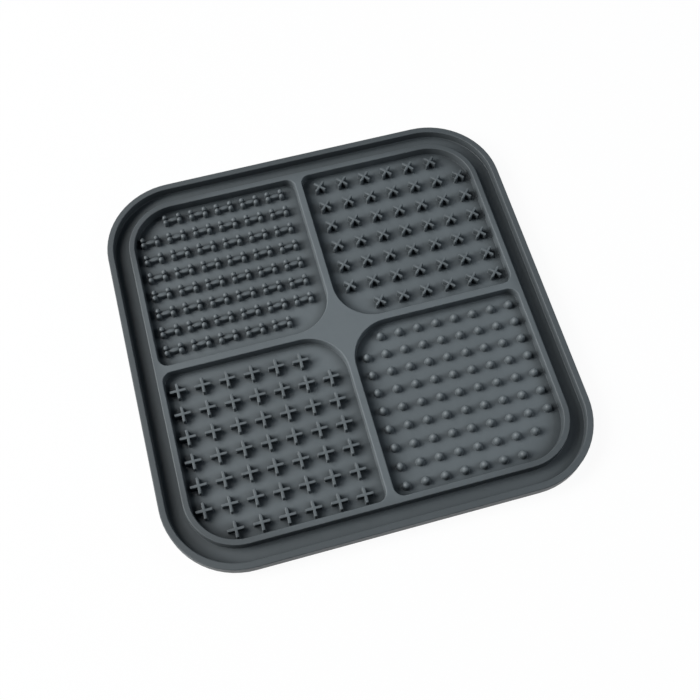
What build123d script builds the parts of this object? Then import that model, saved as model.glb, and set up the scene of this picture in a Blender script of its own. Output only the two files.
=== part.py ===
"""Square lick mat of silicone with four pockets of licking studs inside a drip channel.

The real mat is one moulding. It is modelled here as the members that make it up, which meet face to face:
a base sheet, an outer rim, a frame, four dividers with a star-shaped hub, and four fields of studs.

Units are millimetres. +X is to the right, +Y to the back and +Z up, with the origin at the centre of the
underside. Each pocket is named by its quadrant: right is +1 or -1 along X, back is +1 or -1 along Y.
"""

import os
from dataclasses import dataclass
from math import cos, hypot, radians
from typing import Callable

from build123d import *

# Overall plan and section
MAT_SIDE = 200.0
MAT_CORNER_RADIUS = 35.3
FLOOR_THICKNESS = 2.0
WALL_HEIGHT = 4.5
BASE_EDGE_CHAMFER = 0.8

# Walls that stand on the base sheet, from the outside to the middle
RIM_WIDTH = 3.1
CHANNEL_WIDTH = 7.3
FRAME_WIDTH = 3.3
DIVIDER_WIDTH = 4.2
WALL_EDGE_CHAMFER = 0.5

# Plan corners of a pocket: towards the hub, and where a divider meets the frame
HUB_CORNER_RADIUS = 19.0
SIDE_CORNER_RADIUS = 4.5
STRAIGHT_STUB = 1.0

# Studs: the least gap to a pocket wall, and the sides of a round one, few because they repeat
STUD_CLEARANCE = 1.0
ROUND_STUD_SIDES = 6

PLUS_SPAN = 7.8
PLUS_ARM_WIDTH = 1.45
PLUS_HEIGHT = 3.3
DIAGONAL_SPAN = 6.8
DIAGONAL_ARM_WIDTH = 1.25
DIAGONAL_HEIGHT = 3.6
CROSS_PITCH = 11.65

BONE_KNOB_SPACING = 6.9
BONE_KNOB_GAUGE = 2.75
BONE_KNOB_DIAMETER = 2.7
BONE_KNOB_HEIGHT = 3.4
BONE_BAR_HEIGHT = 1.9
BONE_PITCH_ACROSS = 13.08
BONE_PITCH_ALONG = 10.05

DOME_DIAMETER = 4.1
DOME_HEIGHT = 3.4
DOME_DRAFT_ANGLE = 11.0
DOME_PITCH = 9.15

# Distances from the outer walls of a pocket to the first row of stud centres, across (X) and along (Y)
BONE_MARGIN_ACROSS = 7.7
BONE_MARGIN_ALONG = 5.7
DIAGONAL_MARGIN_ACROSS = 6.2
DIAGONAL_MARGIN_ALONG = 7.2
PLUS_MARGIN_ACROSS = 5.4
PLUS_MARGIN_ALONG = 5.05
DOME_MARGIN_ACROSS = 5.1
DOME_MARGIN_ALONG = 4.6

# Worked out from the sizes above
WALL_TOP = FLOOR_THICKNESS + WALL_HEIGHT
CHANNEL_OUTER = MAT_SIDE / 2 - RIM_WIDTH
FRAME_OUTER = CHANNEL_OUTER - CHANNEL_WIDTH
POCKET_OUTER = FRAME_OUTER - FRAME_WIDTH
POCKET_INNER = DIVIDER_WIDTH / 2
POCKET_SIDE = POCKET_OUTER - POCKET_INNER
POCKET_CORNER_RADIUS = MAT_CORNER_RADIUS - (MAT_SIDE / 2 - POCKET_OUTER)
HUB_REACH = POCKET_INNER + HUB_CORNER_RADIUS + STRAIGHT_STUB
DIVIDER_END = POCKET_OUTER - SIDE_CORNER_RADIUS - STRAIGHT_STUB
DIVIDER_LENGTH = DIVIDER_END - HUB_REACH
BONE_REACH_ACROSS = (BONE_KNOB_SPACING + BONE_KNOB_DIAMETER) / 2
BONE_REACH_ALONG = (BONE_KNOB_GAUGE + BONE_KNOB_DIAMETER) / 2
DIAGONAL_REACH = (DIAGONAL_SPAN + DIAGONAL_ARM_WIDTH) / 2 * cos(radians(45))
DIVIDER_TURNS = {"right": 0, "back": 90, "left": 180, "front": 270}


@dataclass
class StudField:
    """One pocket's pattern of studs, set out from the pocket's outer corner."""

    right: int
    back: int
    stud: Callable[[], Part]
    margin_across: float
    margin_along: float
    pitch_across: float
    pitch_along: float
    reach_across: float
    reach_along: float
    outer_cut: int = 1
    hub_cut: int = 1


def square_plan(half_side):
    """Plan of the mat's outline, drawn in to a smaller half side with concentric corners."""
    inset = MAT_SIDE / 2 - half_side
    return RectangleRounded(2 * half_side, 2 * half_side, MAT_CORNER_RADIUS - inset)


def eased_top(wall):
    """Wall with the edges of its top face eased."""
    return chamfer(wall.faces().sort_by(Axis.Z)[-1].edges(), WALL_EDGE_CHAMFER)


def base_sheet():
    """Floor of the channel and the pockets, with its lower edge eased."""
    sheet = extrude(square_plan(MAT_SIDE / 2), FLOOR_THICKNESS)
    return chamfer(sheet.faces().sort_by(Axis.Z)[0].edges(), BASE_EDGE_CHAMFER)


def outer_rim():
    """Raised rim round the drip channel."""
    plan = square_plan(MAT_SIDE / 2) - square_plan(CHANNEL_OUTER)
    return eased_top(Pos(0, 0, FLOOR_THICKNESS) * extrude(plan, WALL_HEIGHT))


def pocket_plan(right, back):
    """Plan of one pocket: a large radius at its outer and hub corners, a small one at the other two."""
    middle = (POCKET_INNER + POCKET_OUTER) / 2
    plan = Pos(right * middle, back * middle) * Rectangle(POCKET_SIDE, POCKET_SIDE)
    corners = (
        (POCKET_OUTER, POCKET_OUTER, POCKET_CORNER_RADIUS),
        (POCKET_INNER, POCKET_INNER, HUB_CORNER_RADIUS),
        (POCKET_INNER, POCKET_OUTER, SIDE_CORNER_RADIUS),
        (POCKET_OUTER, POCKET_INNER, SIDE_CORNER_RADIUS),
    )
    for across, along, radius in corners:
        corner = plan.vertices().sort_by_distance((right * across, back * along))[0]
        plan = fillet(corner, radius)
    return plan


def pocket_walls():
    """Frame, dividers and hub in one piece: a slab with the four pockets cut through it."""
    plan = square_plan(FRAME_OUTER)
    for right in (-1, 1):
        for back in (-1, 1):
            plan -= pocket_plan(right, back)
    return eased_top(Pos(0, 0, FLOOR_THICKNESS) * extrude(plan, WALL_HEIGHT))


def wall_members():
    """The pocket walls parted into the frame, the hub and the four dividers, by node name."""
    walls = pocket_walls()
    stands = (Align.CENTER, Align.CENTER, Align.MIN)
    hub_space = Box(2 * HUB_REACH, 2 * HUB_REACH, WALL_TOP, align=stands)
    arm = Pos((HUB_REACH + DIVIDER_END) / 2, 0) * Box(DIVIDER_LENGTH, HUB_REACH, WALL_TOP, align=stands)
    arms = {side: Rot(0, 0, turn) * arm for side, turn in DIVIDER_TURNS.items()}
    members = {f"divider_{side}": walls & space for side, space in arms.items()}
    members["hub_star"] = walls & hub_space
    members["pocket_frame"] = walls - hub_space - list(arms.values())
    return members


def cross_stud(span, arm_width, height):
    """Cross of two equal arms along X and Y."""
    plan = Rectangle(span, arm_width) + Rectangle(arm_width, span)
    return extrude(plan, height)


def plus_stud():
    """Upright cross."""
    return cross_stud(PLUS_SPAN, PLUS_ARM_WIDTH, PLUS_HEIGHT)


def x_stud():
    """Slimmer, taller cross turned to stand as an X."""
    return Rot(0, 0, 45) * cross_stud(DIAGONAL_SPAN, DIAGONAL_ARM_WIDTH, DIAGONAL_HEIGHT)


def bone_stud():
    """Bone: a low bar with a taller knob on each of its four corners."""
    bar = extrude(Rectangle(BONE_KNOB_SPACING, BONE_KNOB_GAUGE), BONE_BAR_HEIGHT)
    knob_plan = RegularPolygon(BONE_KNOB_DIAMETER / 2, ROUND_STUD_SIDES)
    knob = extrude(knob_plan, BONE_KNOB_HEIGHT)
    places = GridLocations(BONE_KNOB_SPACING, BONE_KNOB_GAUGE, 2, 2)
    return bar + [place * knob for place in places]


def dome_stud():
    """Blunt dome that narrows from its foot to its crown."""
    foot = RegularPolygon(DOME_DIAMETER / 2, ROUND_STUD_SIDES)
    return extrude(foot, DOME_HEIGHT, taper=DOME_DRAFT_ANGLE)


FIELDS = {
    "bone_studs": StudField(
        right=-1,
        back=1,
        stud=bone_stud,
        margin_across=BONE_MARGIN_ACROSS,
        margin_along=BONE_MARGIN_ALONG,
        pitch_across=BONE_PITCH_ACROSS,
        pitch_along=BONE_PITCH_ALONG,
        reach_across=BONE_REACH_ACROSS,
        reach_along=BONE_REACH_ALONG,
    ),
    "x_studs": StudField(
        right=1,
        back=1,
        stud=x_stud,
        margin_across=DIAGONAL_MARGIN_ACROSS,
        margin_along=DIAGONAL_MARGIN_ALONG,
        pitch_across=CROSS_PITCH,
        pitch_along=CROSS_PITCH,
        reach_across=DIAGONAL_REACH,
        reach_along=DIAGONAL_REACH,
    ),
    "plus_studs": StudField(
        right=-1,
        back=-1,
        stud=plus_stud,
        margin_across=PLUS_MARGIN_ACROSS,
        margin_along=PLUS_MARGIN_ALONG,
        pitch_across=CROSS_PITCH,
        pitch_along=CROSS_PITCH,
        reach_across=PLUS_SPAN / 2,
        reach_along=PLUS_SPAN / 2,
    ),
    "dome_studs": StudField(
        right=1,
        back=-1,
        stud=dome_stud,
        margin_across=DOME_MARGIN_ACROSS,
        margin_along=DOME_MARGIN_ALONG,
        pitch_across=DOME_PITCH,
        pitch_along=DOME_PITCH,
        reach_across=DOME_DIAMETER / 2,
        reach_along=DOME_DIAMETER / 2,
        outer_cut=2,
    ),
}


def inside_corner(across, along, radius, reach):
    """Whether a stud stays inside a rounded pocket corner, its place measured from the two walls there."""
    if across >= radius or along >= radius:
        return True
    return hypot(radius - across, radius - along) + reach <= radius


def count_that_fits(margin, reach, pitch):
    """How many studs fit between a pocket's outer wall and the divider opposite."""
    return 1 + int((POCKET_SIDE - margin - reach - STUD_CLEARANCE) / pitch)


def stud_places(field):
    """Centres of a field's studs, leaving out those in the pocket's two large corners."""
    columns = count_that_fits(field.margin_across, field.reach_across, field.pitch_across)
    rows = count_that_fits(field.margin_along, field.reach_along, field.pitch_along)
    reach = max(field.reach_across, field.reach_along)
    places = []
    for row in range(rows):
        for column in range(columns):
            at_outer_corner = column + row < field.outer_cut
            at_hub = (columns - 1 - column) + (rows - 1 - row) < field.hub_cut
            across = field.margin_across + column * field.pitch_across
            along = field.margin_along + row * field.pitch_along
            from_hub = (POCKET_SIDE - across, POCKET_SIDE - along)
            fits = inside_corner(across, along, POCKET_CORNER_RADIUS, reach)
            fits = fits and inside_corner(*from_hub, HUB_CORNER_RADIUS, reach)
            if fits and not at_outer_corner and not at_hub:
                places.append(Pos(field.right * (POCKET_OUTER - across), field.back * (POCKET_OUTER - along)))
    return places


def stud_group(field):
    """All studs of one pocket as separate solids on the base sheet."""
    stud = field.stud()
    return Compound([Pos(0, 0, FLOOR_THICKNESS) * place * stud.solid() for place in stud_places(field)])


def main():
    """Build every member and write its file."""
    members = {"base_sheet": base_sheet(), "outer_rim": outer_rim(), **wall_members()}
    members.update({node: stud_group(field) for node, field in FIELDS.items()})
    os.makedirs("parts", exist_ok=True)
    for node, shape in members.items():
        export_step(shape, f"parts/{node}.step")
        print(node, len(shape.solids()), "solids")


main()
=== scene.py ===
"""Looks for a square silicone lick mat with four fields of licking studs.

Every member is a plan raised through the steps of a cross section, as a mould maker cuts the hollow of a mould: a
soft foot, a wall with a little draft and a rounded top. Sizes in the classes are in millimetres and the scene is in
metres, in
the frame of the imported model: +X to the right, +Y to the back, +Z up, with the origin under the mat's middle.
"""

import logging
from dataclasses import dataclass
from enum import Enum
from math import cos, pi, radians, sin
from typing import Any, Callable

import bmesh
import bpy
from mathutils import Euler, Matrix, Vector

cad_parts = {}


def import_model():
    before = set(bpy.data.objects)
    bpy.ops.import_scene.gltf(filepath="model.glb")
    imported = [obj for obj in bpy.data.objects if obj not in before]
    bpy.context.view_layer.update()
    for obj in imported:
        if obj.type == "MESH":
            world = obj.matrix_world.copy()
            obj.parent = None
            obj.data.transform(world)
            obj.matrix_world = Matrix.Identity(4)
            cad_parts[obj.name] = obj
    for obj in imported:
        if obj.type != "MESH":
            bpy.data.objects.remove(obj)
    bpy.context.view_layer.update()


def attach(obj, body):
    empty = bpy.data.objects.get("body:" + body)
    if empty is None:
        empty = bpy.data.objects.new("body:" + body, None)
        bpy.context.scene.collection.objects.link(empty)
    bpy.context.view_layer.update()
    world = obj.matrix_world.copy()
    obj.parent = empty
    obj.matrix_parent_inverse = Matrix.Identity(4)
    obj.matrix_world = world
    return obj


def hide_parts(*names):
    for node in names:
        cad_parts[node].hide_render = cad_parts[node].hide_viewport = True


LOG = logging.getLogger("lick_mat")

# Metres in a millimetre.
MM = 0.001
# Height of the floor of the pockets and the channel, in millimetres.
FLOOR = 2.0
# Where the solids' pockets end, which the studs are set out from, in millimetres.
POCKET_END = 86.3
# Thickness of a slab before it is raised, in millimetres.
SKIN = 0.02
# Distances within which two places, or two vertices, count as one, in millimetres.
NEAR = 0.01
WELD = 0.001
# Edges sharper than this stay sharp on the members and on the studs, in degrees.
MEMBER_EDGE = 40.0
STUD_EDGE = 50.0
# Least Z of a normal that points up.
UPWARD = 0.9
# How far large faces rule the shading, out of 100.
FLAT_WEIGHT = 80

Colour = tuple[float, float, float, float]
Steps = list[tuple[float, float]]
WHITE: Colour = (1.0, 1.0, 1.0, 1.0)


class Element(Enum):
    """Kind of mesh element that a selection is made of, with Blender's name for the select mode."""

    VERTICES = "VERT"
    EDGES = "EDGE"
    FACES = "FACE"


class Stance(Enum):
    """How a cross stud stands in its field, as its turn in degrees."""

    UPRIGHT = 0
    DIAGONAL = 45


class Value:
    """A shader socket that takes part in Python arithmetic."""

    def __init__(self, shader: "Shader", socket: bpy.types.NodeSocket) -> None:
        """Wrap one output socket of a shader's tree."""
        self.shader = shader
        self.socket = socket

    def _math(self, operation: str, first: Any, second: Any) -> "Value":
        """Add one Math node.

        Args:
            operation: Blender's name for the operation.
            first: Left operand, a Value or a number.
            second: Right operand, a Value or a number.

        Returns:
            The node's result.
        """
        return self.shader.node("ShaderNodeMath", {"operation": operation}, {0: first, 1: second})

    def __add__(self, other: Any) -> "Value":
        """Sum with a Value or a number."""
        return self._math("ADD", self, other)

    def __radd__(self, other: float) -> "Value":
        """Sum with a number on the left."""
        return self._math("ADD", other, self)

    def __sub__(self, other: Any) -> "Value":
        """Difference from a Value or a number."""
        return self._math("SUBTRACT", self, other)

    def __rsub__(self, other: float) -> "Value":
        """Difference from a number on the left."""
        return self._math("SUBTRACT", other, self)

    def __mul__(self, other: Any) -> "Value":
        """Product with a Value or a number."""
        return self._math("MULTIPLY", self, other)

    def __rmul__(self, other: float) -> "Value":
        """Product with a number on the left."""
        return self._math("MULTIPLY", other, self)

    def larger(self, other: Any) -> "Value":
        """The larger of this and another Value or number."""
        return self._math("MAXIMUM", self, other)

    def rises(self, start: float, end: float) -> "Value":
        """Smooth step of this value.

        Args:
            start: Value at and below which the result is 0.
            end: Value at and above which the result is 1.

        Returns:
            The step, from 0 to 1.
        """
        settings = {"interpolation_type": "SMOOTHSTEP"}
        return self.shader.node("ShaderNodeMapRange", settings, {0: self, 1: start, 2: end})


class Shader:
    """A node tree that is filled from code."""

    def __init__(self, owner: Any) -> None:
        """Empty the node tree of a material or a world.

        Args:
            owner: The material or world.
        """
        owner.use_nodes = True
        self.tree = owner.node_tree
        self.tree.nodes.clear()

    def node(self, kind: str, settings: dict[str, Any], inputs: dict[Any, Any], output: Any = 0) -> Value:
        """Add any node.

        Args:
            kind: Blender's node type.
            settings: Properties of the node, set before its sockets.
            inputs: Values or numbers by the name or index of a socket.
            output: Name or index of the socket to return.

        Returns:
            One output of the node, or the node's first input where it has no output.
        """
        made = self.tree.nodes.new(kind)
        for name, setting in settings.items():
            setattr(made, name, setting)
        for name, given in inputs.items():
            if isinstance(given, Value):
                self.tree.links.new(given.socket, made.inputs[name])
            else:
                made.inputs[name].default_value = given
        return Value(self, made.outputs[output] if len(made.outputs) else made.inputs[0])

    def mixed(self, factor: Any, first: Any, second: Any) -> Value:
        """Mix two colours.

        Args:
            factor: Share of the second colour, a Value or a number.
            first: Colour at 0.
            second: Colour at 1.

        Returns:
            The mixed colour.
        """
        inputs = {0: factor, 6: first, 7: second}
        return self.node("ShaderNodeMix", {"data_type": "RGBA"}, inputs, 2)

    def seen_ray(self, mirrored: Any = 1.0) -> Value:
        """1 for rays that show the background: from the camera, or by reflection or through glass.

        Args:
            mirrored: Share of the background that reflections show, a Value or a number.

        Returns:
            How much of the background the ray shows.
        """
        camera = self.node("ShaderNodeLightPath", {}, {}, "Is Camera Ray")
        glossy = self.node("ShaderNodeLightPath", {}, {}, "Is Glossy Ray")
        through = self.node("ShaderNodeLightPath", {}, {}, "Is Transmission Ray")
        return camera.larger(glossy * mirrored).larger(through)


@dataclass(frozen=True)
class Silicone:
    """Matte dark silicone with a fine moulded grain, random tone and specks of lint, with a painted pool of light,
    brightest on the hub and on raised tops, and painted shade at the feet of walls and studs.

    Lengths are in millimetres. A reach is measured from the middle of the mat along a rounded square, as its outline
    runs. A pair says where a change begins and ends.
    """

    name: str = "silicone"
    # Colour at the rim, where no painted light is added, and the dark end of the random tone.
    deep: Colour = (0.0634, 0.0731, 0.0779, 1.0)
    # Colour where the painted pool of light is fullest, and the pale end of the random tone.
    pale_lit: Colour = (0.1140, 0.1315, 0.1400, 1.0)
    # Painted shade: the colour deep in corners and at the feet of walls and studs.
    painted_shade_colour: Colour = (0.0285, 0.0351, 0.0388, 1.0)
    lint: Colour = (0.30, 0.31, 0.31, 1.0)
    roughness: float = 0.52
    roughness_spread: float = 0.10
    specular: float = 0.5
    ior: float = 1.42
    noise_roughness: float = 0.55
    cloud_size: float = 28.0
    cloud_share: float = 0.65
    cloud_tone: tuple[float, float] = (0.3, 0.7)
    cloud_spread: float = 0.16
    fine_size: float = 28.0 / 9
    grain_size: float = 0.5
    grain_strength: float = 0.12
    grain_depth: float = 0.05
    # Painted light: a pool over the pockets, lighter on raised tops within it, and a brighter middle.
    pocket_reach: tuple[float, float] = (82.0, 95.0)
    pocket_painted_light: float = 0.68
    top_height: tuple[float, float] = (5.7, 6.3)
    top_painted_light: float = 0.11
    middle_reach: tuple[float, float] = (0.0, 35.0)
    middle_painted_light: float = 0.22
    # Painted shade from ambient occlusion: how far it looks, where it is full, and its samples.
    painted_shade_reach: float = 5.5
    painted_shade_full: float = 0.25
    painted_shade_samples: int = 16
    lint_spacing: float = 22.0
    lint_radius: tuple[float, float] = (0.010, 0.022)
    lint_choice: tuple[float, float] = (0.52, 0.6)
    lint_cover: float = 0.6

    def make(self) -> bpy.types.Material:
        """Build the material.

        Returns:
            The new material.
        """
        material = bpy.data.materials.new(self.name)
        shader = Shader(material)
        place = shader.node("ShaderNodeTexCoord", {}, {}, "Object")
        cloud = self._noise(shader, place, self.cloud_size, detail=4.0)
        fine = self._noise(shader, place, self.fine_size, detail=2.0)
        grain = self._noise(shader, place, self.grain_size, detail=1.0)
        tone = (cloud * self.cloud_share + fine * (1 - self.cloud_share)).rises(*self.cloud_tone)
        # Painted pool of light plus random tone, from the rim colour to the pale lit colour.
        painted_light_and_tone = self._painted_light_pool(shader, place) + self.cloud_spread * (tone - 0.5)
        colour = shader.mixed(painted_light_and_tone, self.deep, self.pale_lit)
        # Painted shade: darker towards the feet of walls and studs.
        colour = shader.mixed(self._painted_shade_openness(shader), self.painted_shade_colour, colour)
        colour = shader.mixed(self._lint_mask(shader, place) * self.lint_cover, colour, self.lint)
        bump = {"Strength": self.grain_strength, "Distance": self.grain_depth * MM, "Height": grain}
        surface = shader.node(
            "ShaderNodeBsdfPrincipled",
            {},
            {
                "Base Color": colour,
                "Roughness": self.roughness + self.roughness_spread * (fine - 0.5),
                "Normal": shader.node("ShaderNodeBump", {}, bump),
                "Specular IOR Level": self.specular,
                "IOR": self.ior,
            },
        )
        shader.node("ShaderNodeOutputMaterial", {}, {"Surface": surface})
        return material

    def _noise(self, shader: Shader, place: Value, size: float, detail: float) -> Value:
        """Soft noise whose blotches are about one size across.

        Args:
            shader: Tree to add to.
            place: Object coordinates.
            size: Blotch size in millimetres.
            detail: Octaves of finer noise.

        Returns:
            Noise from 0 to 1.
        """
        scale = 1 / (size * MM)
        inputs = {"Vector": place, "Scale": scale, "Detail": detail, "Roughness": self.noise_roughness}
        return shader.node("ShaderNodeTexNoise", {}, inputs, "Fac")

    def _painted_light_pool(self, shader: Shader, place: Value) -> Value:
        """Painted light: a pool that is brightest on the hub, bright in the pockets and on raised tops, and gone at
        the rim.

        Args:
            shader: Tree to add to.
            place: Object coordinates.

        Returns:
            1 on the hub, less in the pockets and 0 at the rim.
        """
        squares = shader.node("ShaderNodeVectorMath", {"operation": "MULTIPLY"}, {0: place, 1: place})
        reach = shader.node("ShaderNodeVectorMath", {"operation": "LENGTH"}, {0: squares}, "Value")
        height = shader.node("ShaderNodeSeparateXYZ", {}, {0: place}, "Z")
        pockets = 1.0 - reach.rises(*[(limit * MM) ** 2 for limit in self.pocket_reach])
        middle = 1.0 - reach.rises(*[(limit * MM) ** 2 for limit in self.middle_reach])
        tops = height.rises(*[limit * MM for limit in self.top_height])
        return pockets * (self.pocket_painted_light + self.top_painted_light * tops) + middle * self.middle_painted_light

    def _painted_shade_openness(self, shader: Shader) -> Value:
        """Painted shade: how open the surface lies, by ambient occlusion, so that the feet of walls and studs are
        painted darker.

        Args:
            shader: Tree to add to.

        Returns:
            1 in the open and 0 deep in a corner, where the painted shade is full.
        """
        settings = {"samples": self.painted_shade_samples}
        inputs = {"Distance": self.painted_shade_reach * MM}
        seen = shader.node("ShaderNodeAmbientOcclusion", settings, inputs, "AO")
        return seen.rises(self.painted_shade_full, 1.0)

    def _lint_mask(self, shader: Shader, place: Value) -> Value:
        """Sparse specks: small spots in a few cells of a cell pattern.

        Args:
            shader: Tree to add to.
            place: Object coordinates.

        Returns:
            1 on a speck and 0 elsewhere.
        """
        inputs = {"Vector": place, "Scale": 1 / (self.lint_spacing * MM)}
        near = shader.node("ShaderNodeTexVoronoi", {}, inputs, "Distance")
        cell = shader.node("ShaderNodeTexVoronoi", {}, inputs, "Color")
        return (1.0 - near.rises(*self.lint_radius)) * cell.rises(*self.lint_choice)


def quarter_turns(arcs: int) -> list[float]:
    """Angles from 0 to a right angle, in even steps."""
    return [pi / 2 * index / arcs for index in range(arcs + 1)]


def steps_between(points: Steps) -> Steps:
    """Steps from each point to the next, as pairs of a distance inwards and a distance up."""
    return [(after[0] - before[0], after[1] - before[1]) for before, after in zip(points, points[1:])]


@dataclass(frozen=True)
class Section:
    """Cross section of a raised member, in millimetres.

    height is from the floor to the top, foot is the radius of the hollow at the bottom, crown_in and crown_up are
    the half axes of the rounded top edge, draft is how far the wall leans in, and arcs is the steps in each round.
    """

    height: float
    foot: float
    crown_in: float
    crown_up: float
    draft: float
    arcs: int

    def spread(self) -> float:
        """How far the plan stands out at the floor beyond the wall half way up."""
        return self.foot + self.draft / 2

    def steps(self) -> Steps:
        """Steps of the section from the edge of its plan to the flat of its top.

        Returns:
            Pairs of a distance inwards and a distance up.
        """
        turns = quarter_turns(self.arcs)
        points = [(self.foot * sin(turn), self.foot * (1 - cos(turn))) for turn in turns]
        inward = self.foot + self.draft
        upward = self.height - self.crown_up - SKIN
        points += [(inward + self.crown_in * (1 - cos(turn)), upward + self.crown_up * sin(turn)) for turn in turns]
        return steps_between(points)


class Workpiece:
    """A mesh on the bench: a fresh primitive that is open in edit mode until it is finished."""

    def __init__(self, name: str) -> None:
        """Take the primitive that was just added.

        Args:
            name: Name of the object and its mesh.
        """
        bpy.ops.object.transform_apply(location=True, rotation=True, scale=True)
        self.obj = bpy.context.object
        self.obj.name = name
        self.obj.data.name = name
        bpy.ops.object.mode_set(mode="EDIT")

    @classmethod
    def plane(cls, name: str, width: float, depth: float, centre: tuple[float, float, float]) -> "Workpiece":
        """Start from a flat rectangle.

        Args:
            name: Name of the piece.
            width: Side along X in millimetres.
            depth: Side along Y in millimetres.
            centre: Centre in millimetres.

        Returns:
            The new workpiece.
        """
        bpy.ops.object.select_all(action="DESELECT")
        bpy.ops.mesh.primitive_plane_add(size=1, location=[c * MM for c in centre])
        bpy.context.object.scale = (width * MM, depth * MM, 1)
        return cls(name)

    @classmethod
    def disc(cls, name: str, radius: float, sides: int, centre: tuple[float, float, float]) -> "Workpiece":
        """Start from a flat disc.

        Args:
            name: Name of the piece.
            radius: Radius in millimetres.
            sides: Number of sides.
            centre: Centre in millimetres.

        Returns:
            The new workpiece.
        """
        bpy.ops.object.select_all(action="DESELECT")
        place = [c * MM for c in centre]
        bpy.ops.mesh.primitive_circle_add(vertices=sides, radius=radius * MM, fill_type="NGON", location=place)
        return cls(name)

    def choose(self, element: Element, test: Callable[[Any], bool]) -> None:
        """Select the elements that pass a test and nothing else.

        Args:
            element: Kind of element.
            test: Takes a mesh element and says whether it is selected.
        """
        bpy.ops.mesh.select_mode(type=element.value)
        bpy.ops.mesh.select_all(action="DESELECT")
        mesh = bmesh.from_edit_mesh(self.obj.data)
        mesh.normal_update()
        items = {Element.VERTICES: mesh.verts, Element.EDGES: mesh.edges, Element.FACES: mesh.faces}[element]
        for item in [item for item in items if test(item)]:
            item.select_set(True)
        mesh.select_flush_mode()
        bmesh.update_edit_mesh(self.obj.data)

    def round_corner(self, corner: tuple[float, float], radius: float, arcs: int) -> None:
        """Round one corner of the plan.

        Args:
            corner: The corner's X and Y in millimetres.
            radius: Radius in millimetres.
            arcs: Steps in the round.
        """
        target = Vector(corner) * MM
        self.choose(Element.VERTICES, lambda vertex: (vertex.co.xy - target).length < NEAR * MM)
        self.bevel_vertices(radius, arcs)

    def round_corners(self, radius: float, arcs: int) -> None:
        """Round every corner of the plan alike.

        Args:
            radius: Radius in millimetres.
            arcs: Steps in each round.
        """
        self.choose(Element.VERTICES, lambda vertex: True)
        self.bevel_vertices(radius, arcs)

    def bevel_vertices(self, radius: float, arcs: int) -> None:
        """Round the plan at the selected vertices.

        Args:
            radius: Radius in millimetres.
            arcs: Steps in each round.
        """
        bpy.ops.mesh.bevel(
            offset=radius * MM,
            offset_type="ABSOLUTE",
            segments=arcs,
            profile=0.5,
            affect="VERTICES",
            clamp_overlap=False,
        )

    def lift(self, height: float) -> None:
        """Make the flat plan a thin closed slab.

        Args:
            height: Thickness in millimetres.
        """
        self.choose(Element.FACES, lambda face: True)
        bpy.ops.mesh.extrude_region_move(TRANSFORM_OT_translate={"value": (0, 0, height * MM)})
        bpy.ops.mesh.select_all(action="SELECT")
        bpy.ops.mesh.normals_make_consistent(inside=False)

    def step(self, inward: float, upward: float) -> None:
        """Step the selected faces in and up, leaving a sloping band round them.

        Args:
            inward: Width of the band in millimetres.
            upward: Rise in millimetres.
        """
        bpy.ops.mesh.inset(thickness=inward * MM, depth=upward * MM, use_even_offset=True)

    def raise_through(self, section: Section) -> None:
        """Raise the top of a thin slab through a cross section.

        Args:
            section: The cross section.
        """
        self.choose(Element.FACES, lambda face: face.normal.z > UPWARD)
        for inward, upward in section.steps():
            self.step(inward, upward)

    def finish(self, angle: float = MEMBER_EDGE) -> bpy.types.Object:
        """Close the mesh, point its faces outwards and shade it.

        Args:
            angle: Edges sharper than this, in degrees, stay sharp.

        Returns:
            The finished object, in object mode.
        """
        bpy.ops.mesh.select_mode(type="VERT")
        bpy.ops.mesh.select_all(action="SELECT")
        bpy.ops.mesh.remove_doubles(threshold=WELD * MM)
        bpy.ops.mesh.normals_make_consistent(inside=False)
        bpy.ops.object.mode_set(mode="OBJECT")
        bpy.ops.object.shade_smooth_by_angle(angle=radians(angle))
        return self.obj


def only(obj: bpy.types.Object) -> None:
    """Select one object, make it active and leave all else deselected."""
    bpy.ops.object.select_all(action="DESELECT")
    obj.select_set(True)
    bpy.context.view_layer.objects.active = obj


def copied(obj: bpy.types.Object, name: str, move: tuple[float, float, float] = (0, 0, 0)) -> bpy.types.Object:
    """Copy an object with its own mesh.

    Args:
        obj: Object to copy.
        name: Name of the copy.
        move: How far the copy moves, in millimetres.

    Returns:
        The copy.
    """
    only(obj)
    bpy.ops.object.duplicate(linked=False)
    copy = bpy.context.object
    copy.name = name
    copy.data.name = name
    bpy.ops.transform.translate(value=[m * MM for m in move])
    return copy


def joined(objects: list[bpy.types.Object], name: str) -> bpy.types.Object:
    """Join objects into one, at the origin.

    Args:
        objects: Objects to join.
        name: Name of the result.

    Returns:
        The joined object.
    """
    only(objects[0])
    for obj in objects:
        obj.select_set(True)
    bpy.ops.object.join()
    bpy.ops.object.transform_apply(location=True, rotation=True, scale=True)
    whole = bpy.context.object
    whole.name = name
    whole.data.name = name
    return whole


def cut(obj: bpy.types.Object, tool: bpy.types.Object, operation: str) -> None:
    """Apply a boolean with a tool.

    Args:
        obj: Object that is changed.
        tool: Object that cuts it.
        operation: Blender's name for the boolean.
    """
    only(obj)
    boolean = obj.modifiers.new("cut", "BOOLEAN")
    boolean.operation = operation
    boolean.solver = "EXACT"
    boolean.object = tool
    bpy.ops.object.modifier_apply(modifier=boolean.name)


def discard(obj: bpy.types.Object) -> None:
    """Remove a helper object with its mesh."""
    bpy.data.meshes.remove(obj.data)


def flatten_shading(obj: bpy.types.Object) -> None:
    """Let the large flat faces of a piece rule its shading, so that only its rounds look round."""
    only(obj)
    weighted = obj.modifiers.new("flat faces", "WEIGHTED_NORMAL")
    weighted.keep_sharp = True
    weighted.weight = FLAT_WEIGHT
    bpy.ops.object.modifier_apply(modifier=weighted.name)


def dress(obj: bpy.types.Object, material: bpy.types.Material, *nodes: str) -> None:
    """Give a finished piece its material and let it stand for its CAD nodes.

    Args:
        obj: The piece.
        material: Its finish.
        nodes: CAD nodes that it stands for.
    """
    obj.data.materials.clear()
    obj.data.materials.append(material)
    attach(obj, "root")
    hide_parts(*nodes)
    LOG.info("%s: %d faces, stands for %s", obj.name, len(obj.data.polygons), ", ".join(nodes))


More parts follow.
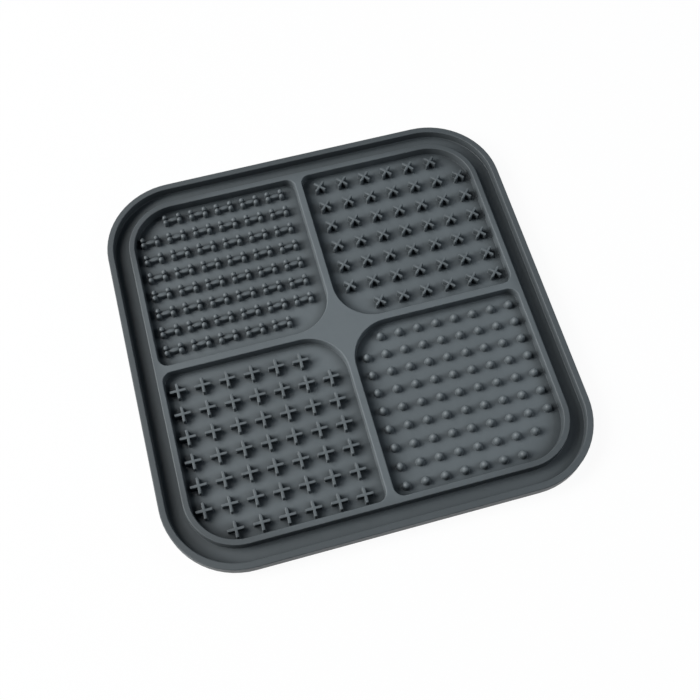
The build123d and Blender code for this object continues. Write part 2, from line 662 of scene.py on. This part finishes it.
@dataclass
class Tray:
    """Base sheet of the mat and the rim round it, in millimetres."""

    side: float = 200.0
    corner_radius: float = 35.3
    corner_arcs: int = 16
    wall_top: float = 6.5
    rim_width: float = 3.1
    base_round: float = 0.8
    crown: float = 0.45
    foot: float = 0.35
    arcs: int = 4

    def build(self, finish: bpy.types.Material) -> None:
        """Model the sheet and the rim and dress them.

        Args:
            finish: Material of both.
        """
        dress(self._sheet(), finish, "base_sheet")
        dress(self._rim(), finish, "outer_rim")

    def _outline(self, name: str, height: float) -> Workpiece:
        """Start a piece from the mat's outline.

        Args:
            name: Name of the piece.
            height: Height of the outline in millimetres.

        Returns:
            The flat outline.
        """
        piece = Workpiece.plane(name, self.side, self.side, (0, 0, height))
        piece.round_corners(self.corner_radius, self.corner_arcs)
        return piece

    def _sheet(self) -> bpy.types.Object:
        """Model the base sheet: a slab with its lower edge rounded.

        Returns:
            The finished sheet.
        """
        piece = self._outline("mat_base_sheet", 0)
        piece.lift(FLOOR)
        piece.choose(Element.EDGES, lambda edge: all(vertex.co.z < NEAR * MM for vertex in edge.verts))
        bpy.ops.mesh.bevel(offset=self.base_round * MM, segments=self.arcs, profile=0.5, affect="EDGES")
        sheet = piece.finish()
        flatten_shading(sheet)
        return sheet

    def _rim(self) -> bpy.types.Object:
        """Model the rim: up its outer side, over its rounded top and down to a soft foot in the channel.

        Returns:
            The finished rim.
        """
        piece = self._outline("mat_outer_rim", FLOOR)
        piece.choose(Element.FACES, lambda face: True)
        for inward, upward in self._rim_steps():
            piece.step(inward, upward)
        bpy.ops.mesh.delete(type="FACE")
        piece.choose(Element.EDGES, lambda edge: edge.is_boundary)
        bpy.ops.mesh.bridge_edge_loops()
        rim = piece.finish()
        flatten_shading(rim)
        return rim

    def _rim_steps(self) -> Steps:
        """Steps of the rim's section from its outer foot to its foot in the channel.

        Returns:
            Pairs of a distance inwards and a distance up.
        """
        turns = quarter_turns(self.arcs)
        shoulder = self.wall_top - FLOOR - self.crown
        inner = self.rim_width - self.crown
        points = [(0.0, 0.0)]
        points += [(self.crown * (1 - cos(turn)), shoulder + self.crown * sin(turn)) for turn in turns]
        points += [(inner + self.crown * sin(turn), shoulder + self.crown * cos(turn)) for turn in turns]
        points += [(self.rim_width + self.foot * (1 - cos(turn)), self.foot * (1 - sin(turn))) for turn in turns]
        return steps_between(points)


@dataclass
class PocketWalls:
    """Frame, hub and dividers that part the four pockets, in millimetres half way up."""

    section: Section = Section(height=4.5, foot=0.15, crown_in=0.4, crown_up=0.4, draft=0.34, arcs=4)
    frame_outer: float = 89.5
    frame_corner: float = 24.8
    pocket_outer: float = 86.4
    pocket_inner: float = 1.9
    pocket_corner: float = 21.7
    hub_corner: float = 19.2
    side_corner: float = 4.5
    hub_reach: float = 22.1
    divider_end: float = 80.8
    large_arcs: int = 16
    small_arcs: int = 8

    def build(self, finish: bpy.types.Material) -> None:
        """Model the walls in one piece, part them into their members and dress those.

        Args:
            finish: Material of all members.
        """
        walls = self._walls()
        middle = (self.hub_reach + self.divider_end) / 2
        length = self.divider_end - self.hub_reach
        spaces = {
            "hub_star": (0, 0, 2 * self.hub_reach, 2 * self.hub_reach),
            "divider_right": (middle, 0, length, self.hub_reach),
            "divider_left": (-middle, 0, length, self.hub_reach),
            "divider_back": (0, middle, self.hub_reach, length),
            "divider_front": (0, -middle, self.hub_reach, length),
        }
        for node, (across, along, width, depth) in spaces.items():
            member = copied(walls, f"mat_{node}")
            self._part(member, (across, along), (width, depth), "INTERSECT")
            dress(member, finish, node)
        frame = copied(walls, "mat_pocket_frame")
        self._part(frame, (0, 0), (2 * self.divider_end, 2 * self.hub_reach), "DIFFERENCE")
        self._part(frame, (0, 0), (2 * self.hub_reach, 2 * self.divider_end), "DIFFERENCE")
        dress(frame, finish, "pocket_frame")
        discard(walls)

    def _walls(self) -> bpy.types.Object:
        """Model the walls as a slab with four pockets through it, raised through the section.

        Returns:
            The walls in one piece.
        """
        spread = self.section.spread()
        side = 2 * (self.frame_outer + spread)
        piece = Workpiece.plane("walls", side, side, (0, 0, FLOOR))
        piece.round_corners(self.frame_corner + spread, self.large_arcs)
        piece.lift(SKIN)
        slab = piece.finish()
        for right in (-1, 1):
            for back in (-1, 1):
                pocket = self._pocket(right, back, spread)
                cut(slab, pocket, "DIFFERENCE")
                discard(pocket)
        only(slab)
        bpy.ops.object.mode_set(mode="EDIT")
        piece.raise_through(self.section)
        return piece.finish()

    def _pocket(self, right: int, back: int, spread: float) -> bpy.types.Object:
        """Model the tool that cuts one pocket's plan.

        Args:
            right: 1 for a pocket on the right, -1 on the left.
            back: 1 for a pocket at the back, -1 at the front.
            spread: How much smaller the pocket is at the floor.

        Returns:
            The tool.
        """
        outer = self.pocket_outer - spread
        inner = self.pocket_inner + spread
        middle = (outer + inner) / 2
        piece = Workpiece.plane("pocket", outer - inner, outer - inner, (right * middle, back * middle, 0))
        corners = (
            (outer, outer, self.pocket_corner, self.large_arcs),
            (inner, inner, self.hub_corner, self.large_arcs),
            (inner, outer, self.side_corner, self.small_arcs),
            (outer, inner, self.side_corner, self.small_arcs),
        )
        for across, along, radius, arcs in corners:
            piece.round_corner((right * across, back * along), radius - spread, arcs)
        piece.lift(2 * FLOOR)
        return piece.finish()

    def _part(
        self,
        obj: bpy.types.Object,
        centre: tuple[float, float],
        size: tuple[float, float],
        operation: str,
    ) -> None:
        """Keep or take away what a member has inside an upright block.

        Args:
            obj: The member.
            centre: Block's centre in plan.
            size: Block's sides in plan.
            operation: INTERSECT to keep what is inside, DIFFERENCE to take it away.
        """
        block = Workpiece.plane("block", *size, (*centre, 0))
        block.lift(4 * FLOOR)
        tool = block.finish()
        cut(obj, tool, operation)
        discard(tool)
        only(obj)
        bpy.ops.object.shade_smooth_by_angle(angle=radians(MEMBER_EDGE))
        flatten_shading(obj)


@dataclass
class CrossStud:
    """Stud of two crossing arms, in millimetres."""

    stance: Stance
    span: float
    arm_width: float
    height: float
    foot: float = 0.12
    crown: float = 0.26
    draft: float = 0.1
    tip_round: float = 0.55
    arcs: int = 2

    def model(self) -> bpy.types.Object:
        """Model one stud at the middle of the mat.

        Returns:
            The stud.
        """
        section = Section(self.height, self.foot, self.crown, self.crown, self.draft, self.arcs)
        width = self.arm_width + 2 * section.spread()
        arm = (self.span - self.arm_width) / 2
        piece = Workpiece.plane("cross", width, width, (0, 0, FLOOR))
        for across, along in ((1, 0), (0, 1), (-1, 0), (0, -1)):
            ends = Vector((across, along)) * width * MM
            piece.choose(
                Element.EDGES,
                lambda edge: ((edge.verts[0].co + edge.verts[1].co).xy - ends).length < 2 * NEAR * MM,
            )
            reach = (across * arm * MM, along * arm * MM, 0)
            bpy.ops.mesh.extrude_edges_move(TRANSFORM_OT_translate={"value": reach})
        piece.choose(Element.VERTICES, lambda vertex: vertex.co.xy.length > width * MM)
        piece.bevel_vertices(self.tip_round, self.arcs)
        piece.lift(SKIN)
        piece.raise_through(section)
        piece.choose(Element.VERTICES, lambda vertex: True)
        bpy.ops.transform.rotate(value=radians(self.stance.value), orient_axis="Z", center_override=(0, 0, 0))
        stud = piece.finish(STUD_EDGE)
        flatten_shading(stud)
        return stud


@dataclass
class BoneStud:
    """Stud like a small bone: a low bar with two knobs at each end, in millimetres."""

    knob_spacing: float = 6.9
    knob_gauge: float = 2.75
    knob_radius: float = 1.33
    knob_sides: int = 10
    bar_width: float = 2.8
    knob_section: Section = Section(height=3.4, foot=0.12, crown_in=1.05, crown_up=1.05, draft=0.1, arcs=4)
    bar_section: Section = Section(height=1.9, foot=0.15, crown_in=0.9, crown_up=0.9, draft=0.3, arcs=3)

    def model(self) -> bpy.types.Object:
        """Model one stud at the middle of the mat.

        Returns:
            The stud.
        """
        spread = self.bar_section.spread()
        bar = Workpiece.plane("bar", self.knob_spacing, self.bar_width + 2 * spread, (0, 0, FLOOR))
        bar.lift(SKIN)
        bar.raise_through(self.bar_section)
        pieces = [bar.finish(STUD_EDGE)]
        radius = self.knob_radius + self.knob_section.spread()
        knob = Workpiece.disc("knob", radius, self.knob_sides, (0, 0, FLOOR))
        knob.lift(SKIN)
        knob.raise_through(self.knob_section)
        post = knob.finish(STUD_EDGE)
        for across in (-1, 1):
            for along in (-1, 1):
                move = (across * self.knob_spacing / 2, along * self.knob_gauge / 2, 0)
                pieces.append(copied(post, "knob", move))
        discard(post)
        return joined(pieces, "bone")


@dataclass
class DomeStud:
    """Blunt round stud, in millimetres."""

    radius: float = 2.0
    sides: int = 14
    section: Section = Section(height=3.4, foot=0.2, crown_in=1.6, crown_up=2.6, draft=0.12, arcs=5)

    def model(self) -> bpy.types.Object:
        """Model one stud at the middle of the mat.

        Returns:
            The stud.
        """
        piece = Workpiece.disc("dome", self.radius + self.section.spread(), self.sides, (0, 0, FLOOR))
        piece.lift(SKIN)
        piece.raise_through(self.section)
        return piece.finish(STUD_EDGE)


@dataclass
class StudField:
    """One pocket's studs, set out in rows from the pocket's outer corner, in millimetres.

    right and back are 1 or -1 and say which pocket it is. The margins run from the pocket's outer sides to the first
    stud, and each cut is how many diagonals of studs are left out at the outer corner and at the hub.
    """

    node: str
    stud: CrossStud | BoneStud | DomeStud
    right: int
    back: int
    margin: tuple[float, float]
    pitch: tuple[float, float]
    columns: int
    rows: int
    outer_cut: int = 1
    hub_cut: int = 1

    def places(self) -> list[tuple[float, float, float]]:
        """Centres of the studs, without those in the pocket's two large corners.

        Returns:
            Moves from the middle of the mat, in millimetres.
        """
        found = []
        for row in range(self.rows):
            for column in range(self.columns):
                outer = column + row < self.outer_cut
                hub = (self.columns - 1 - column) + (self.rows - 1 - row) < self.hub_cut
                across = POCKET_END - self.margin[0] - column * self.pitch[0]
                along = POCKET_END - self.margin[1] - row * self.pitch[1]
                if not outer and not hub:
                    found.append((self.right * across, self.back * along, 0))
        return found

    def build(self, finish: bpy.types.Material) -> None:
        """Model one stud, copy it to every place and dress the field.

        Args:
            finish: Material of the studs.
        """
        stud = self.stud.model()
        studs = [copied(stud, "stud", place) for place in self.places()]
        discard(stud)
        dress(joined(studs, f"mat_{self.node}"), finish, self.node)


@dataclass
class Lamp:
    """A square soft light aimed at the mat, in metres, degrees and watts."""

    name: str
    azimuth: float
    elevation: float
    distance: float
    size: float
    power: float
    colour: tuple[float, float, float] = (1.0, 1.0, 1.0)

    def build(self) -> None:
        """Add the lamp, at its azimuth from +Y towards +X, facing the mat."""
        data = bpy.data.lights.new(self.name, "AREA")
        data.shape = "SQUARE"
        data.size = self.size
        data.energy = self.power
        data.color = self.colour
        lamp = bpy.data.objects.new(self.name, data)
        turn, rise = radians(self.azimuth), radians(self.elevation)
        aim = Vector((sin(turn) * cos(rise), cos(turn) * cos(rise), sin(rise)))
        lamp.location = aim * self.distance
        lamp.rotation_euler = aim.to_track_quat("Z", "Y").to_euler()
        bpy.context.scene.collection.objects.link(lamp)


@dataclass
class Studio:
    """White floor, soft light and the camera at the photograph's viewing angle, in metres and degrees."""

    camera_place: tuple[float, float, float] = (-0.05036, -0.19302, 0.42538)
    camera_turn: tuple[float, float, float] = (24.078, -0.218, -15.379)
    lens: float = 50.489
    sensor: float = 36.0
    nearest: float = 0.01
    floor_size: float = 6.0
    floor_drop: float = 0.0002
    floor_colour: Colour = (0.8, 0.8, 0.8, 1.0)
    floor_shade: float = 0.06
    ambient: float = 0.04
    sky: Colour = (0.42, 0.68, 1.0, 1.0)
    horizon: tuple[float, float] = (-0.02, 0.06)
    lamps: tuple[Lamp, ...] = (
        Lamp("window", azimuth=-85, elevation=29, distance=2.2, size=0.95, power=55.0),
        Lamp("window_back", azimuth=-57, elevation=43, distance=2.2, size=1.1, power=31.5),
        Lamp("fill", azimuth=105, elevation=36, distance=0.7, size=0.28, power=1.5, colour=(0.93, 1.0, 1.07)),
    )

    def build(self) -> None:
        """Add the floor, the surrounding light, the lamps and the camera."""
        self._floor()
        self._world()
        for lamp in self.lamps:
            lamp.build()
        self._camera()

    def _floor(self) -> None:
        """Add a white floor that keeps a faint shadow of the mat."""
        bpy.ops.object.select_all(action="DESELECT")
        bpy.ops.mesh.primitive_plane_add(size=self.floor_size, location=(0, 0, -self.floor_drop))
        floor = bpy.context.object
        floor.name = "floor"
        material = bpy.data.materials.new("white_floor")
        shader = Shader(material)
        paper = shader.node("ShaderNodeBsdfDiffuse", {}, {"Color": self.floor_colour})
        white = shader.node("ShaderNodeEmission", {}, {"Color": WHITE, "Strength": 1.0})
        share = shader.seen_ray() * (1 - self.floor_shade)
        surface = shader.node("ShaderNodeMixShader", {}, {0: share, 1: paper, 2: white})
        shader.node("ShaderNodeOutputMaterial", {}, {"Surface": surface})
        floor.data.materials.append(material)

    def _world(self) -> None:
        """Surround the mat with white at the horizon, for eye and mirror, under a dim sky that lights it a little."""
        world = bpy.data.worlds.new("studio")
        bpy.context.scene.world = world
        shader = Shader(world)
        direction = shader.node("ShaderNodeTexCoord", {}, {}, "Generated")
        height = shader.node("ShaderNodeSeparateXYZ", {}, {0: direction}, "Z")
        horizon = 1.0 - height.rises(*self.horizon)
        dim = shader.node("ShaderNodeBackground", {}, {"Color": self.sky, "Strength": self.ambient})
        white = shader.node("ShaderNodeBackground", {}, {"Color": WHITE, "Strength": 1.0})
        surface = shader.node("ShaderNodeMixShader", {}, {0: shader.seen_ray(horizon), 1: dim, 2: white})
        shader.node("ShaderNodeOutputWorld", {}, {"Surface": surface})

    def _camera(self) -> None:
        """Add the camera and make it the scene's own."""
        data = bpy.data.cameras.new("camera")
        data.lens = self.lens
        data.sensor_width = self.sensor
        data.clip_start = self.nearest
        camera = bpy.data.objects.new("camera", data)
        camera.location = self.camera_place
        camera.rotation_euler = Euler([radians(angle) for angle in self.camera_turn], "XYZ")
        bpy.context.scene.collection.objects.link(camera)
        bpy.context.scene.camera = camera


def main() -> None:
    """Build the mat's members, its studs and the studio in order."""
    logging.basicConfig(level=logging.INFO)
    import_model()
    bpy.context.scene.view_settings.view_transform = "Standard"
    silicone = Silicone().make()
    Tray().build(silicone)
    PocketWalls().build(silicone)
    fields = (
        StudField(
            "bone_studs",
            BoneStud(),
            right=-1,
            back=1,
            margin=(7.7, 5.7),
            pitch=(13.08, 10.05),
            columns=6,
            rows=8,
        ),
        StudField(
            "x_studs",
            CrossStud(Stance.DIAGONAL, span=6.8, arm_width=1.2, height=3.6),
            right=1,
            back=1,
            margin=(6.2, 7.2),
            pitch=(11.65, 11.65),
            columns=7,
            rows=7,
        ),
        StudField(
            "plus_studs",
            CrossStud(Stance.UPRIGHT, span=7.75, arm_width=1.4, height=3.3),
            right=-1,
            back=-1,
            margin=(5.4, 5.05),
            pitch=(11.65, 11.65),
            columns=7,
            rows=7,
        ),
        StudField(
            "dome_studs",
            DomeStud(),
            right=1,
            back=-1,
            margin=(5.1, 4.6),
            pitch=(9.15, 9.15),
            columns=9,
            rows=9,
            outer_cut=2,
        ),
    )
    for field in fields:
        field.build(silicone)
    Studio().build()


if __name__ == "__main__":
    main()
